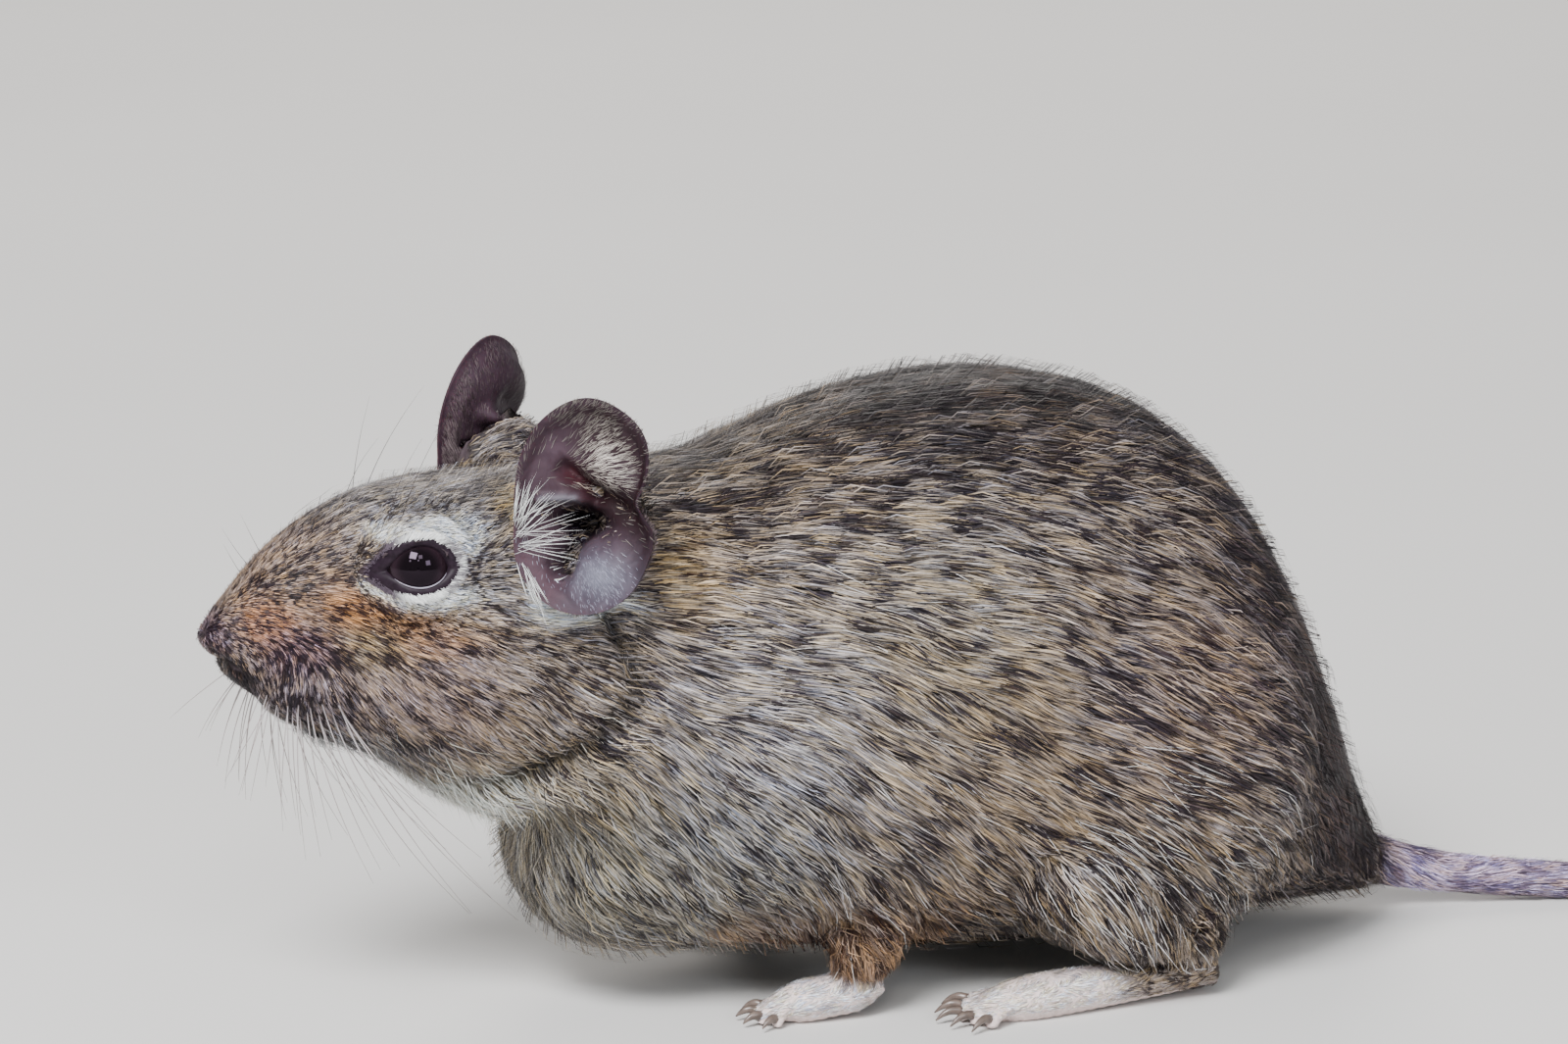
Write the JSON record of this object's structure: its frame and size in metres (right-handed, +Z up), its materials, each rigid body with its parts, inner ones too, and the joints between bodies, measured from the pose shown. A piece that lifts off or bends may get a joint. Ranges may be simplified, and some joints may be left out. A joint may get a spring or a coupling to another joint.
{
  "type": "degu",
  "caption": "Life-size model of a degu crouching on all fours, back arched, head held low, tufted tail laid on the ground.",
  "frame": {"origin": "on the ground, under the middle of the animal's length and width", "axes": "+Z up, the nose points to -X, the animal's left side to -Y"},
  "size_m": [0.2641, 0.067, 0.0771],
  "materials": {
    "coat": "short agouti fur, grey-brown ticked with black and cream",
    "skin": "dark skin under the fur, matt",
    "ear_skin": "thin purple-grey skin with a soft sheen",
    "foot_skin": "pale granular skin with short whitish hair",
    "tail_coat": "short bristly dark hair, paler below",
    "tail_brush": "long black hair",
    "eye": "wet, almost black",
    "claw": "dark horn",
    "whisker": "pale, smooth"
  },
  "bodies": {
    "root": {"head": "coat", "neck": "coat", "torso": "coat", "ear_left": "ear_skin", "eye_left": "eye", "fore_leg_left": "coat", "fore_foot_left": "foot_skin", "hind_leg_left": "coat", "hind_foot_left": "foot_skin", "ear_right": "ear_skin", "eye_right": "eye", "fore_leg_right": "coat", "fore_foot_right": "foot_skin", "hind_leg_right": "coat", "hind_foot_right": "foot_skin", "tail_1": "tail_coat", "tail_2": "tail_coat", "tail_3": "tail_coat", "tail_brush": "tail_brush"}
  },
  "joints": []
}
